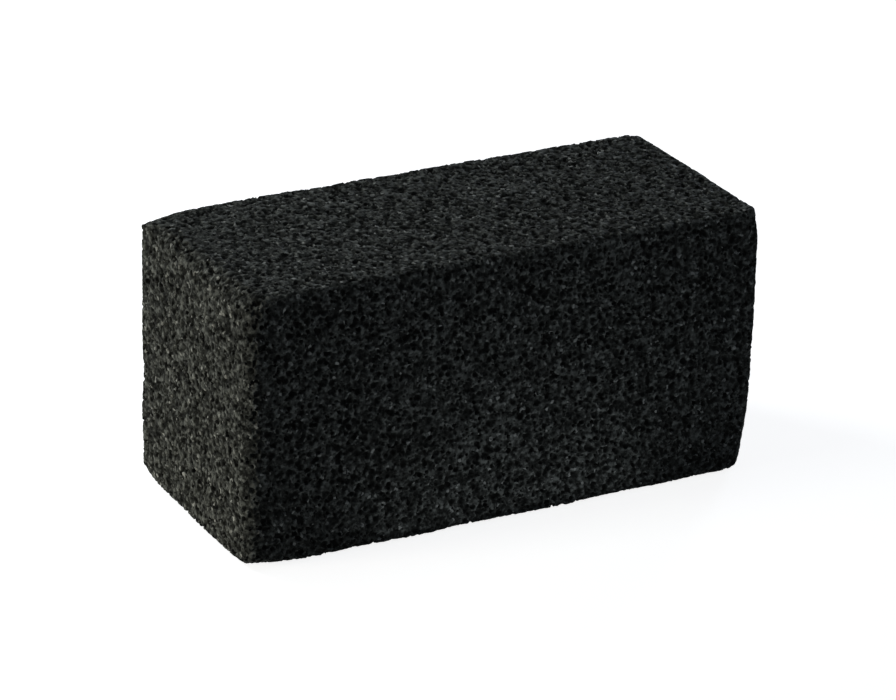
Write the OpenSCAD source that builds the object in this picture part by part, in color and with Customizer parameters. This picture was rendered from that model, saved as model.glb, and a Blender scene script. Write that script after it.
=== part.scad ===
// Grill brick: one block of black foamed glass, sawn to size, for scouring a hot griddle.
// Frame: X runs along the length, Y across the width, Z up from the middle of the face it stands on.

/* [Brick] */
// Length, along the long edges
brick_l = 203.2; // [150:0.1:260]
// Width, across the face that the brick stands on
brick_w = 88.9; // [60:0.1:120]
// Height, from the face that the brick stands on
brick_h = 101.6; // [60:0.1:130]

/* [Wear] */
// Radius that the brittle sawn edges have crumbled to
edge_r = 3; // [1:0.1:8]
// Radius that handling adds to the corners, over that of the edges
corner_extra_r = 7; // [2:0.1:24]

/* [Foam] */
// Diameter of the largest cells in the foam
cell_d = 2.6; // [1:0.1:5]
// Side of the square of sawn face that shows one such cell
cell_pitch = 10; // [6:0.1:30]

/* [Hidden] */
brick_colour = "#2b2b29";
// Length that each prism runs past the faces that trim it
overrun = edge_r;
// Radius of the ball that each corner is rubbed down to
corner_r = edge_r + corner_extra_r;
// How far the round edges stay inside that ball where they run into it
edge_cover = 0.2;
// Distance of the ball's middle from the three faces of its corner
corner_inset = edge_r + corner_extra_r / sqrt(2) - edge_cover;
// Depth of the band, half above a face and half below it, that holds the middles of its cut cells
cell_band = cell_d * 0.6;
// Least wall between two cut cells
cell_wall = 0.6;
// Distance from both sides of a face, at its corners, within which the ball leaves no room for a cell
corner_margin = corner_inset + cell_d / 2;
// Smoothness of the edges and corners, and of the small cells
$fn = 128;
cell_fn = 24;

// Rectangle with round corners, centred, built from two bars and four discs
module round_rectangle(a, b, r) {
    square([a, b - 2 * r], center = true);
    square([a - 2 * r, b], center = true);
    for (x = [-1, 1], y = [-1, 1])
        translate([x * (a / 2 - r), y * (b / 2 - r)])
            circle(r = r);
}

// Prism of that rectangle along Z, long enough for other faces to trim its ends
module round_prism(a, b, length) {
    linear_extrude(height = length + 2 * overrun, center = true)
        round_rectangle(a, b, edge_r);
}

// Sawn block, centred: three crossed prisms leave six flat faces and twelve round edges
module sawn_block() {
    intersection() {
        round_prism(brick_l, brick_w, brick_h);
        rotate([90, 0, 0])
            round_prism(brick_l, brick_h, brick_w);
        rotate([90, 0, 90])
            round_prism(brick_w, brick_h, brick_l);
    }
}

// What handling has rubbed off the corners: at each, the part of a cube that its ball leaves
module corner_losses() {
    for (x = [-1, 1], y = [-1, 1], z = [-1, 1])
        translate([
            x * (brick_l / 2 - corner_inset),
            y * (brick_w / 2 - corner_inset),
            z * (brick_h / 2 - corner_inset)
        ])
            difference() {
                translate([x, y, z] * corner_r / 2)
                    cube(corner_r, center = true);
                sphere(r = corner_r);
            }
}

// Large cells that the saw has cut open across a face of a by b at Z 0: one by chance in each square of a grid
module cut_cells(a, b, seed) {
    room = [a - 2 * edge_r, b - 2 * edge_r];
    count = [round(room.x / cell_pitch), round(room.y / cell_pitch)];
    pitch = [room.x / count.x, room.y / count.y];
    sway = [pitch.x - cell_d - cell_wall, pitch.y - cell_d - cell_wall];
    chance = rands(-1 / 2, 1 / 2, 3 * count.x * count.y, seed);
    for (i = [0 : count.x - 1], j = [0 : count.y - 1]) {
        n = 3 * (i * count.y + j);
        x = (i + 1 / 2) * pitch.x - room.x / 2 + sway.x * chance[n];
        y = (j + 1 / 2) * pitch.y - room.y / 2 + sway.y * chance[n + 1];
        z = cell_band * chance[n + 2];
        if (abs(x) < a / 2 - corner_margin || abs(y) < b / 2 - corner_margin)
            translate([x, y, z])
                sphere(d = cell_d, $fn = cell_fn);
    }
}

// The cut cells of all six faces, each with a seed of its own
module open_foam() {
    for (side = [-1, 1]) {
        translate([0, 0, side * brick_h / 2])
            cut_cells(brick_l, brick_w, 10 + side);
        translate([0, side * brick_w / 2, 0])
            rotate([90, 0, 0])
                cut_cells(brick_l, brick_h, 20 + side);
        translate([side * brick_l / 2, 0, 0])
            rotate([90, 0, 90])
                cut_cells(brick_w, brick_h, 30 + side);
    }
}

// The whole brick, standing on its base
module brick() {
    color(brick_colour)
        translate([0, 0, brick_h / 2])
            difference() {
                sawn_block();
                corner_losses();
                open_foam();
            }
}

brick();
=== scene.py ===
import itertools
import math

import bpy
import numpy as np
from mathutils import Matrix, Vector
from mathutils.bvhtree import BVHTree


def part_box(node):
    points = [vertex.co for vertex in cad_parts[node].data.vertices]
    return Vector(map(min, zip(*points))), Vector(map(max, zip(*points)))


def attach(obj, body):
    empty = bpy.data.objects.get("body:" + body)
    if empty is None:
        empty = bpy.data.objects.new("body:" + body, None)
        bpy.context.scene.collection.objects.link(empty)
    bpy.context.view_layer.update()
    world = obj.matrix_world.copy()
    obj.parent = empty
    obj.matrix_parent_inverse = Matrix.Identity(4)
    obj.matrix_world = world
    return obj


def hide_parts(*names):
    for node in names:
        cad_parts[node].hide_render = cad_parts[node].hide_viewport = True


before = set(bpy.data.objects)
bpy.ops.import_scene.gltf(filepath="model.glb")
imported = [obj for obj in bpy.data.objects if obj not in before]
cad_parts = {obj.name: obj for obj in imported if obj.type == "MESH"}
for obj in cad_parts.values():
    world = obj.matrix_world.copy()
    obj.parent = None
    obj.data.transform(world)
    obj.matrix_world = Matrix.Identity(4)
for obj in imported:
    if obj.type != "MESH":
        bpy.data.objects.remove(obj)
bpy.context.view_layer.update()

# Sizes are in metres
MM = 0.001
LOW, HIGH = (np.array(corner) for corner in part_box("brick"))
MIDDLE = (LOW + HIGH) / 2
HALF = (HIGH - LOW) / 2

# Worn edges: the radius that they have crumbled to, how much it varies, and over what length
EDGE_RADIUS = 2.6 * MM
EDGE_RADIUS_SPREAD = 1.0 * MM
EDGE_WEAR_LENGTH = 14 * MM

# Edges rubbed rounder: sides of the middle that each is on, radius added, one end of it, radius added there
SOFT_EDGES_MM = (
    ((-1, -1, 0), 3.4, (0, 0, -1), 2.4),
    ((-1, 0, 1), 4.5, (0, 1, 0), 0),
)

# How far rubbing reaches from such an edge, and how far from that end it is as strong as elsewhere
SOFT_EDGE_REACH = 16 * MM
SOFT_EDGE_FADE = 25 * MM

# Chipped corners: a corner, by its sides of the middle, and what a chip takes off its edges along X, Y and Z
CORNER_CHIPS_MM = (
    ((-1, -1, -1), (22, 7, 5)),
    ((1, -1, -1), (6, 7.5, 36)),
    ((1, -1, -1), (11, 13, 4.5)),
    ((-1, 1, -1), (8, 20, 6)),
    ((-1, 1, -1), (30, 60, 3.2)),
    ((1, 1, -1), (8, 6, 4)),
    ((-1, -1, 1), (6, 6, 5)),
    ((1, -1, 1), (4, 5, 14)),
    ((-1, 1, 1), (22, 10, 4)),
    ((1, 1, 1), (5, 5, 3)),
)

# Depth over which a chip's rim is rounded, and the largest exponent that is worked out for it
CHIP_SOFTNESS = 0.5 * MM
LARGEST_EXPONENT = 30

# Sawn faces: how far they dip between high spots, and over what length
FACE_DIP = 0.25 * MM
FACE_DIP_LENGTH = 22 * MM

# Breadth of the solid's round edges and corners, which show none of its large cells
SOLID_EDGE = 3.1 * MM
SOLID_CORNER = 7.8 * MM

# Height above the faces from which the solid's cells are sounded
SOUNDING_HEIGHT = 1 * MM

# Foam: between the solid's cells, smaller ones of two sizes, with walls that broke off unevenly
LARGE_CELL_SPACING = 1.9 * MM
LARGE_CELL_RADII = (0.5 * MM, 1.2 * MM)
SMALL_CELL_SPACING = 1.05 * MM
SMALL_CELL_RADII = (0.3 * MM, 0.65 * MM)
DEEPEST_PIT = 2.0 * MM
WALL_LOSS = 0.30 * MM
WALL_LOSS_LENGTH = 1.3 * MM
GRIT_HEIGHT = 0.10 * MM

# Mesh: pitch of the carved grid, triangles kept of it, least angle of a sharp edge, gap between baked faces
GRID_PITCH = 0.42 * MM
TRIANGLES_KEPT = 400_000
SHARP_ANGLE = math.radians(50)
BAKE_GAP = 3.0 * MM

# Camera, fitted to the outline in the 896 by 700 frame
CAMERA_AZIMUTH = math.radians(-28.74)
CAMERA_ELEVATION = math.radians(23.19)
CAMERA_ROLL = math.radians(1.43)
CAMERA_DISTANCE = 1.5845
CAMERA_LENS_MM = 177.6
CAMERA_AIM = (-0.48 * MM, -2.39 * MM)

# Linear colours of the foam, grey dust on the rims darkening to painted shade in the pits, and the hollowness
# at which each is pure: 0 on a face, 1 in the deepest pit
RIM_COLOUR = (0.054, 0.0575, 0.054, 1)
WALL_COLOUR = (0.024, 0.026, 0.024, 1)
PAINTED_PIT_SHADE = (0.010, 0.0105, 0.010, 1)
RIM_HOLLOW = 0.08
WALL_HOLLOW = 0.25
PIT_HOLLOW = 0.52

# Mottle of the foam: its scale, per metre as all scales here, how it shifts the hollowness, and its roughness
NOISE_DETAIL = 2
MOTTLE_SCALE = 900
MOTTLE_SHARPNESS = 0.6
MOTTLE_GAIN = 0.5
MOTTLE_SHIFT = -0.25
MATT_ROUGHNESS = (0.78, 0.98)

# Grains: how much their greys vary, the draws that make some pale as painted glints, and the hollowness over
# which those fade
GRAIN_SCALE = 850
GRAIN_GREYS = (0.4, 1.6)
GLINT_DRAW = (0.95, 1.0)
GLINT_HOLLOW = (0.5, 0.1)
PAINTED_GLINT_COLOUR = (0.30, 0.31, 0.295, 1)

# Soot: the band of its noise that counts, and the greys that it gives
SOOT_SCALE = 480
SOOT_SHARPNESS = 0.5
SOOT_BAND = (0.40, 0.60)
SOOT_GREYS = (0.35, 1.7)

# Gritty skin, finer than the mesh, and its faint gloss
SKIN_SCALE = 2600
SKIN_SHARPNESS = 0.7
SKIN_STRENGTH = 0.6
SKIN_DEPTH = 0.15 * MM
SKIN_GLOSS = 0.045

# Floor: its colour, half its side, its glow by the brick, and the distances over which that grows to white
FLOOR_COLOUR = (0.70, 0.71, 0.72, 1)
FLOOR_REACH = 12
FLOOR_GLOW = 0.87
FLOOR_WHITENS = (0.4, 1.0)

# Colours of the light, and of what is behind the brick
KEY_COLOUR = (1.0, 0.925, 0.75)
BACK_COLOUR = (0.97, 1.0, 0.99)
FILL_COLOUR = (0.88, 1.0, 1.2)
CARD_COLOUR = (0.95, 1.0, 1.04)
BACKDROP_COLOUR = (1, 1, 1, 1)

# Level of the light from all round
SKY_LEVEL = 0.078

# Softboxes: azimuth and elevation in degrees, distance, side, level and colour
SOFTBOXES = {
    "key": (-96, 6, 0.9, 0.20, 0.335, KEY_COLOUR),
    "back": (-150, 20, 0.7, 0.20, 0.41, BACK_COLOUR),
    "over": (-90, 70, 0.36, 0.12, 0.125, BACK_COLOUR),
    "far_side": (130, 6, 1.6, 0.3, 0.28, FILL_COLOUR),
}

# Cards of light on the floor: sides along X and Y, levels, shift of the front one, gap to brick and floor
FRONT_CARD = (0.11, 0.16)
FRONT_CARD_LEVEL = 0.6
LEFT_CARD = (0.16, 0.09)
LEFT_CARD_LEVEL = 0.55
CARD_SHIFT = 2 * MM
CARD_GAP = 2 * MM

SEED = 20
random = np.random.default_rng(SEED)


def smooth_step(values):
    """Eases values between 0 and 1."""
    values = np.clip(values, 0, 1)
    return values * values * (3 - 2 * values)


def smooth_noise(points, length):
    """Smooth noise from -1 to 1 that changes over about the given length."""
    places = (points - points.min(axis=0)) / length
    cells = places.astype(int)
    parts = smooth_step(places - cells)
    lattice = random.uniform(-1, 1, cells.max(axis=0) + 2)
    total = np.zeros(len(points))
    for step in itertools.product((0, 1), repeat=3):
        weights = np.where(step, parts, 1 - parts).prod(axis=1)
        total += weights * lattice[tuple((cells + step).T)]
    return total


def cell_depth(points, outward, spacing, radii):
    """How far below each surface point lies the far wall of the round cell that the saw opened there."""
    places = (points - points.min(axis=0)) / spacing + 1
    cells = places.astype(int)
    counts = cells.max(axis=0) + 2
    centres = np.stack(np.indices(counts), axis=-1) + random.random((*counts, 3))
    sizes = random.uniform(*radii, counts) / spacing
    depth = np.zeros(len(points))
    for step in itertools.product((-1, 0, 1), repeat=3):
        near = tuple((cells + step).T)
        offset = places - centres[near]
        height = (offset * outward).sum(axis=1)
        room = sizes[near] ** 2 - (offset ** 2).sum(axis=1)
        reach = height + np.sqrt(np.maximum(room + height ** 2, 0))
        depth = np.maximum(depth, np.where(room > 0, reach, 0))
    return depth * spacing


def solid_cell_depth(points):
    """How far below each point of the sharp box the solid's own large cells reach."""
    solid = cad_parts["brick"].data
    corners = [corner.co - Vector(MIDDLE) for corner in solid.vertices]
    tree = BVHTree.FromPolygons(corners, [face.vertices for face in solid.polygons])
    room = HALF - np.abs(points)
    near, far = np.sort(room, axis=1)[:, 1:].T
    flat = (near > SOLID_EDGE) & (far > SOLID_CORNER)
    depth = np.zeros(len(points))
    for index in np.flatnonzero(flat):
        axis = room[index].argmin()
        inward = Vector()
        inward[axis] = -np.sign(points[index, axis])
        start = Vector(points[index]) - SOUNDING_HEIGHT * inward
        *_, distance = tree.ray_cast(start, inward)
        depth[index] = distance - SOUNDING_HEIGHT
    return depth


def box_grid():
    """Grid over the sharp box: welded points, quads, and a bake place for each quad's corners."""
    size = 2 * HALF
    counts = np.round(size / GRID_PITCH).astype(int)
    lattice = np.indices(counts + 1)
    ends = counts.reshape(3, 1, 1, 1)
    on_surface = ((lattice == 0) | (lattice == ends)).any(axis=0)
    number = np.zeros(counts + 1, dtype=int)
    number[on_surface] = np.arange(on_surface.sum())
    points = (lattice[:, on_surface].T / counts - 0.5) * size

    # The bake sheet has the four long faces above each other, and the two ends beside them
    length, width, height = size
    sheet_side = 2 * (width + height) + 5 * BAKE_GAP
    rows = iter(np.cumsum([BAKE_GAP, width + BAKE_GAP, width + BAKE_GAP, height + BAKE_GAP]))
    end_rows = iter((BAKE_GAP, height + 2 * BAKE_GAP))
    quads = []
    places = []
    for axis, side in itertools.product((2, 1, 0), (0, -1)):
        across, along = (axis + 1) % 3, (axis + 2) % 3
        face = np.moveaxis(number, (axis, across, along), (0, 1, 2))[side]
        u, v = np.indices(face.shape)
        uv = np.stack([u / counts[across] * size[across], v / counts[along] * size[along]], axis=-1)
        if across != 0:
            uv = uv[..., ::-1]
        if axis == 0:
            corner = (length + 2 * BAKE_GAP, next(end_rows))
        else:
            corner = (BAKE_GAP, next(rows))
        uv = (uv + corner) / sheet_side
        for layer, store in ((face, quads), (uv, places)):
            loop = [layer[:-1, :-1], layer[1:, :-1], layer[1:, 1:], layer[:-1, 1:]]
            if side == 0:
                loop.reverse()
            stacked = np.stack(loop, axis=2)
            store.append(stacked.reshape(-1, 4, *layer.shape[2:]))
    return points, np.concatenate(quads), np.concatenate(places)


def rubbed_radius(points):
    """What rubbing adds to the radius of the soft edges, at points of the sharp box."""
    extra = np.zeros(len(points))
    for sides, most, end, least in SOFT_EDGES_MM:
        from_edge = np.linalg.norm(np.abs(sides) * (points - sides * HALF), axis=1)
        from_end = np.linalg.norm(np.abs(end) * (points - end * HALF), axis=1)
        here = least + (most - least) * smooth_step(from_end / SOFT_EDGE_FADE)
        extra = np.maximum(extra, here * MM * smooth_step(1 - from_edge / SOFT_EDGE_REACH))
    return extra


def worn_block(points):
    """Moves points of the sharp box onto the worn block, and gives the outward direction at each."""
    radius = EDGE_RADIUS + EDGE_RADIUS_SPREAD * smooth_noise(points, EDGE_WEAR_LENGTH)
    radius += rubbed_radius(points)
    inner = HALF - radius[:, None]
    core = np.clip(points, -inner, inner)
    offset = points - core
    outward = offset / np.linalg.norm(offset, axis=1, keepdims=True)
    points = core + outward * radius[:, None]
    for sides, lengths in CORNER_CHIPS_MM:
        normal = np.array(sides) / (np.array(lengths) * MM)
        chip_depth = 1 / np.linalg.norm(normal)
        normal = normal * chip_depth
        beyond = ((points - sides * HALF) @ normal + chip_depth) / CHIP_SOFTNESS
        loss = CHIP_SOFTNESS * np.logaddexp(0, beyond)
        share = 1 / (1 + np.exp(-np.clip(beyond, -LARGEST_EXPONENT, LARGEST_EXPONENT)))
        points = points - loss[:, None] * normal
        outward = outward + share[:, None] * (normal - outward)
    dip = FACE_DIP * (0.5 + 0.5 * smooth_noise(points, FACE_DIP_LENGTH))
    points = points - dip[:, None] * outward
    return points, outward / np.linalg.norm(outward, axis=1, keepdims=True)


def new_mesh(name, points, quads, places):
    """Mesh of the given quads, with their bake places as its UV map."""
    mesh = bpy.data.meshes.new(name)
    mesh.vertices.add(len(points))
    mesh.vertices.foreach_set("co", points.ravel())
    mesh.loops.add(quads.size)
    mesh.loops.foreach_set("vertex_index", quads.ravel())
    mesh.polygons.add(len(quads))
    mesh.polygons.foreach_set("loop_start", np.arange(0, quads.size, 4))
    mesh.update(calc_edges=True)
    mesh.uv_layers.new(name="OFBake").data.foreach_set("uv", places.ravel())
    return mesh


def carved_brick():
    """The brick: a worn block whose faces cut through foam."""
    points, quads, places = box_grid()
    cut = solid_cell_depth(points)
    points, outward = worn_block(points)
    large = cell_depth(points, outward, LARGE_CELL_SPACING, LARGE_CELL_RADII)
    small = cell_depth(points, outward, SMALL_CELL_SPACING, SMALL_CELL_RADII)
    wall_loss = WALL_LOSS * (0.5 + 0.5 * smooth_noise(points, WALL_LOSS_LENGTH))
    depth = np.max([cut, large, small, wall_loss], axis=0)
    depth = DEEPEST_PIT * np.tanh(depth / DEEPEST_PIT)
    grit = GRIT_HEIGHT * random.random(len(points))
    points = points - outward * (depth + grit)[:, None]
    mesh = new_mesh("brick_foam", points + MIDDLE, quads, places)
    # How hollow each point is, which the material uses to darken the pits with painted shade
    hollow = mesh.attributes.new("hollow", "FLOAT", "POINT")
    hollow.data.foreach_set("value", depth / DEEPEST_PIT)
    brick = bpy.data.objects.new("brick_foam", mesh)
    bpy.context.scene.collection.objects.link(brick)

    # Fewer triangles, none of whose corners lies outside the solid's box
    thin = brick.modifiers.new("thin", "DECIMATE")
    thin.ratio = TRIANGLES_KEPT / (2 * len(quads))
    bpy.context.view_layer.update()
    graph = bpy.context.evaluated_depsgraph_get()
    thinned = bpy.data.meshes.new_from_object(brick.evaluated_get(graph))
    brick.modifiers.clear()
    brick.data = thinned
    kept = np.empty(3 * len(thinned.vertices))
    thinned.vertices.foreach_get("co", kept)
    kept = np.clip(kept.reshape(-1, 3), LOW, HIGH)
    thinned.vertices.foreach_set("co", kept.ravel())
    thinned.shade_smooth()
    thinned.set_sharp_from_angle(angle=SHARP_ANGLE)
    return brick


class Nodes:
    """Short way to add nodes to a material or world and link them."""

    def __init__(self, owner):
        owner.use_nodes = True
        self.tree = owner.node_tree
        self.tree.nodes.clear()

    def add(self, kind, inputs=None, **settings):
        """Adds a node. An input is a plain value, or another node's output to link."""
        node = self.tree.nodes.new(kind)
        for name, value in settings.items():
            setattr(node, name, value)
        for key, value in (inputs or {}).items():
            if isinstance(value, bpy.types.NodeSocket):
                self.tree.links.new(value, node.inputs[key])
            else:
                node.inputs[key].default_value = value
        return node

    def calculate(self, operation, *values, **settings):
        """Result of a sum on one to three values."""
        return self.add("ShaderNodeMath", dict(enumerate(values)), operation=operation, **settings).outputs[0]

    def remap(self, value, before=(0, 1), after=(0, 1), **settings):
        """A value carried from one range to another, and kept within the second."""
        limits = {"From Min": before[0], "From Max": before[1], "To Min": after[0], "To Max": after[1]}
        return self.add("ShaderNodeMapRange", {"Value": value, **limits}, **settings).outputs[0]

    def noise(self, where, scale, sharpness):
        """Level of a noise."""
        inputs = {"Vector": where, "Scale": scale, "Detail": NOISE_DETAIL, "Roughness": sharpness}
        return self.add("ShaderNodeTexNoise", inputs).outputs["Fac"]

    def seen_rays(self):
        """1 for rays that show a thing to the camera, straight, by gloss or through glass, 0 for others."""
        path = self.add("ShaderNodeLightPath").outputs
        shown = self.calculate("MAXIMUM", path["Is Camera Ray"], path["Is Glossy Ray"])
        return self.calculate("MAXIMUM", shown, path["Is Transmission Ray"])


def foam_material():
    """Charcoal foamed glass: grey dusty rims, pits darkened with painted shade, a few pale grains as painted
    glints, a matt gritty skin.
    """
    material = bpy.data.materials.new("foamed_glass")
    nodes = Nodes(material)
    where = nodes.add("ShaderNodeTexCoord").outputs["Object"]
    hollow = nodes.add("ShaderNodeAttribute", attribute_name="hollow").outputs["Fac"]

    # Grey dust of the rims fades to black in the pits, which is painted shade there
    mottle = nodes.noise(where, MOTTLE_SCALE, MOTTLE_SHARPNESS)
    shade = nodes.calculate("MULTIPLY_ADD", mottle, MOTTLE_GAIN, MOTTLE_SHIFT)
    level = nodes.calculate("ADD", hollow, shade, use_clamp=True)
    ramp = nodes.add("ShaderNodeValToRGB", {"Fac": level})
    stops = ramp.color_ramp.elements
    stops[0].position = RIM_HOLLOW
    stops[0].color = RIM_COLOUR
    stops[1].position = PIT_HOLLOW
    stops[1].color = PAINTED_PIT_SHADE
    stops.new(WALL_HOLLOW).color = WALL_COLOUR

    # Each grain has its own grey, under soft blotches of soot
    cells = nodes.add("ShaderNodeTexVoronoi", {"Vector": where, "Scale": GRAIN_SCALE})
    draw = nodes.add("ShaderNodeSeparateColor", {"Color": cells.outputs["Color"]})
    grey = nodes.remap(draw.outputs[0], after=GRAIN_GREYS)
    soot = nodes.noise(where, SOOT_SCALE, SOOT_SHARPNESS)
    stain = nodes.remap(soot, SOOT_BAND, SOOT_GREYS)
    stained = nodes.calculate("MULTIPLY", grey, stain)
    inputs = {0: ramp.outputs["Color"], "Scale": stained}
    body = nodes.add("ShaderNodeVectorMath", inputs, operation="SCALE")

    # A few grains that aren't in a pit are pale: painted glints
    picked = nodes.remap(draw.outputs[1], GLINT_DRAW)
    raised = nodes.remap(hollow, GLINT_HOLLOW)
    pale = nodes.calculate("MULTIPLY", picked, raised)
    inputs = {"Factor": pale, "A": body.outputs[0], "B": PAINTED_GLINT_COLOUR}
    colour = nodes.add("ShaderNodeMix", inputs, data_type="RGBA")

    # Fine grit makes the skin matt
    skin = nodes.noise(where, SKIN_SCALE, SKIN_SHARPNESS)
    inputs = {"Strength": SKIN_STRENGTH, "Distance": SKIN_DEPTH, "Height": skin}
    bump = nodes.add("ShaderNodeBump", inputs)
    principled = nodes.add("ShaderNodeBsdfPrincipled", {
        "Base Color": colour.outputs["Result"],
        "Roughness": nodes.remap(mottle, after=MATT_ROUGHNESS),
        "Specular IOR Level": SKIN_GLOSS,
        "Normal": bump.outputs[0],
    })
    nodes.add("ShaderNodeOutputMaterial", {"Surface": principled.outputs[0]})
    return material


def floor():
    """Wide pale floor that takes the brick's shadow and grows white away from it."""
    mesh = bpy.data.meshes.new("floor")
    corners = [(x * FLOOR_REACH, y * FLOOR_REACH, 0) for x, y in ((-1, -1), (1, -1), (1, 1), (-1, 1))]
    mesh.from_pydata(corners, [], [(0, 1, 2, 3)])
    obj = bpy.data.objects.new("floor", mesh)
    bpy.context.scene.collection.objects.link(obj)
    material = bpy.data.materials.new("pale_floor")
    nodes = Nodes(material)
    where = nodes.add("ShaderNodeTexCoord").outputs["Object"]
    away = nodes.add("ShaderNodeVectorMath", {0: where}, operation="LENGTH").outputs["Value"]
    whiter = nodes.remap(away, FLOOR_WHITENS, (FLOOR_GLOW, 1), interpolation_type="SMOOTHSTEP")
    lift = nodes.calculate("MULTIPLY", nodes.seen_rays(), whiter)
    paint = nodes.add("ShaderNodeBsdfDiffuse", {"Color": FLOOR_COLOUR})
    glow = nodes.add("ShaderNodeEmission", {"Strength": lift})
    both = nodes.add("ShaderNodeAddShader", {0: paint.outputs[0], 1: glow.outputs[0]})
    nodes.add("ShaderNodeOutputMaterial", {"Surface": both.outputs[0]})
    mesh.materials.append(material)


def sky():
    """White behind the object, and an even soft light on it."""
    world = bpy.data.worlds.new("studio")
    bpy.context.scene.world = world
    nodes = Nodes(world)
    fill = nodes.add("ShaderNodeBackground", {"Color": (*FILL_COLOUR, 1), "Strength": SKY_LEVEL})
    white = nodes.add("ShaderNodeBackground", {"Color": BACKDROP_COLOUR})
    both = nodes.add("ShaderNodeMixShader", {0: nodes.seen_rays(), 1: fill.outputs[0], 2: white.outputs[0]})
    nodes.add("ShaderNodeOutputWorld", {"Surface": both.outputs[0]})


def direction(azimuth, elevation):
    """Unit vector away from the brick. Azimuth 0 is in front of it, and a quarter turn is to its right."""
    ahead = math.cos(elevation)
    return Vector((math.sin(azimuth) * ahead, -math.cos(azimuth) * ahead, math.sin(elevation)))


def lamp(name, place, sides, power, colour):
    """Rectangular lamp at a place, unseen by the camera, which shines down until it is turned."""
    data = bpy.data.lights.new(name, "AREA")
    data.shape = "RECTANGLE"
    data.size, data.size_y = sides
    data.energy = power
    data.color = colour
    obj = bpy.data.objects.new(name, data)
    bpy.context.scene.collection.objects.link(obj)
    obj.location = place
    obj.visible_camera = False
    return obj


def softbox(name, azimuth, elevation, distance, side, level, colour):
    """Square lamp aimed at the brick. Level is the light it gives a face that looks straight at it."""
    away = direction(math.radians(azimuth), math.radians(elevation))
    power = level * (math.pi * distance) ** 2
    box = lamp(name, Vector(MIDDLE) + away * distance, (side, side), power, colour)
    box.rotation_euler = away.to_track_quat("Z", "Y").to_euler()


def low_card(name, x, y, sides, level, colour):
    """Light that comes up from the floor beside the brick, as from a pale card that lies there."""
    power = level * math.pi * math.prod(sides)
    card = lamp(name, (x, y, CARD_GAP), sides, power, colour)
    card.rotation_euler = (math.pi, 0, 0)


def lights():
    """All the light on the brick: soft from all round, softboxes, and a card at the front and at the left."""
    sky()
    for name, values in SOFTBOXES.items():
        softbox(name, *values)
    front_y = LOW[1] - CARD_GAP - FRONT_CARD[1] / 2
    left_x = LOW[0] - CARD_GAP - LEFT_CARD[0] / 2
    low_card("front_card", CARD_SHIFT, front_y, FRONT_CARD, FRONT_CARD_LEVEL, CARD_COLOUR)
    low_card("left_card", left_x, 0, LEFT_CARD, LEFT_CARD_LEVEL, KEY_COLOUR)


def camera():
    """Camera at the photograph's viewing angle."""
    data = bpy.data.cameras.new("camera")
    data.lens = CAMERA_LENS_MM
    obj = bpy.data.objects.new("camera", data)
    bpy.context.scene.collection.objects.link(obj)
    back = direction(CAMERA_AZIMUTH, CAMERA_ELEVATION)
    level = Vector((math.cos(CAMERA_AZIMUTH), math.sin(CAMERA_AZIMUTH), 0))
    rise = back.cross(level)
    right = math.cos(CAMERA_ROLL) * level + math.sin(CAMERA_ROLL) * rise
    up = math.cos(CAMERA_ROLL) * rise - math.sin(CAMERA_ROLL) * level
    aim = Vector(MIDDLE) + CAMERA_AIM[0] * right + CAMERA_AIM[1] * up
    turn = Matrix((right, up, back)).transposed().to_4x4()
    obj.matrix_world = Matrix.Translation(aim + back * CAMERA_DISTANCE) @ turn
    bpy.context.scene.camera = obj


camera()
floor()
lights()
bpy.context.scene.view_settings.view_transform = "Standard"

brick = carved_brick()
brick.data.materials.append(foam_material())
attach(brick, "root")
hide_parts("brick")
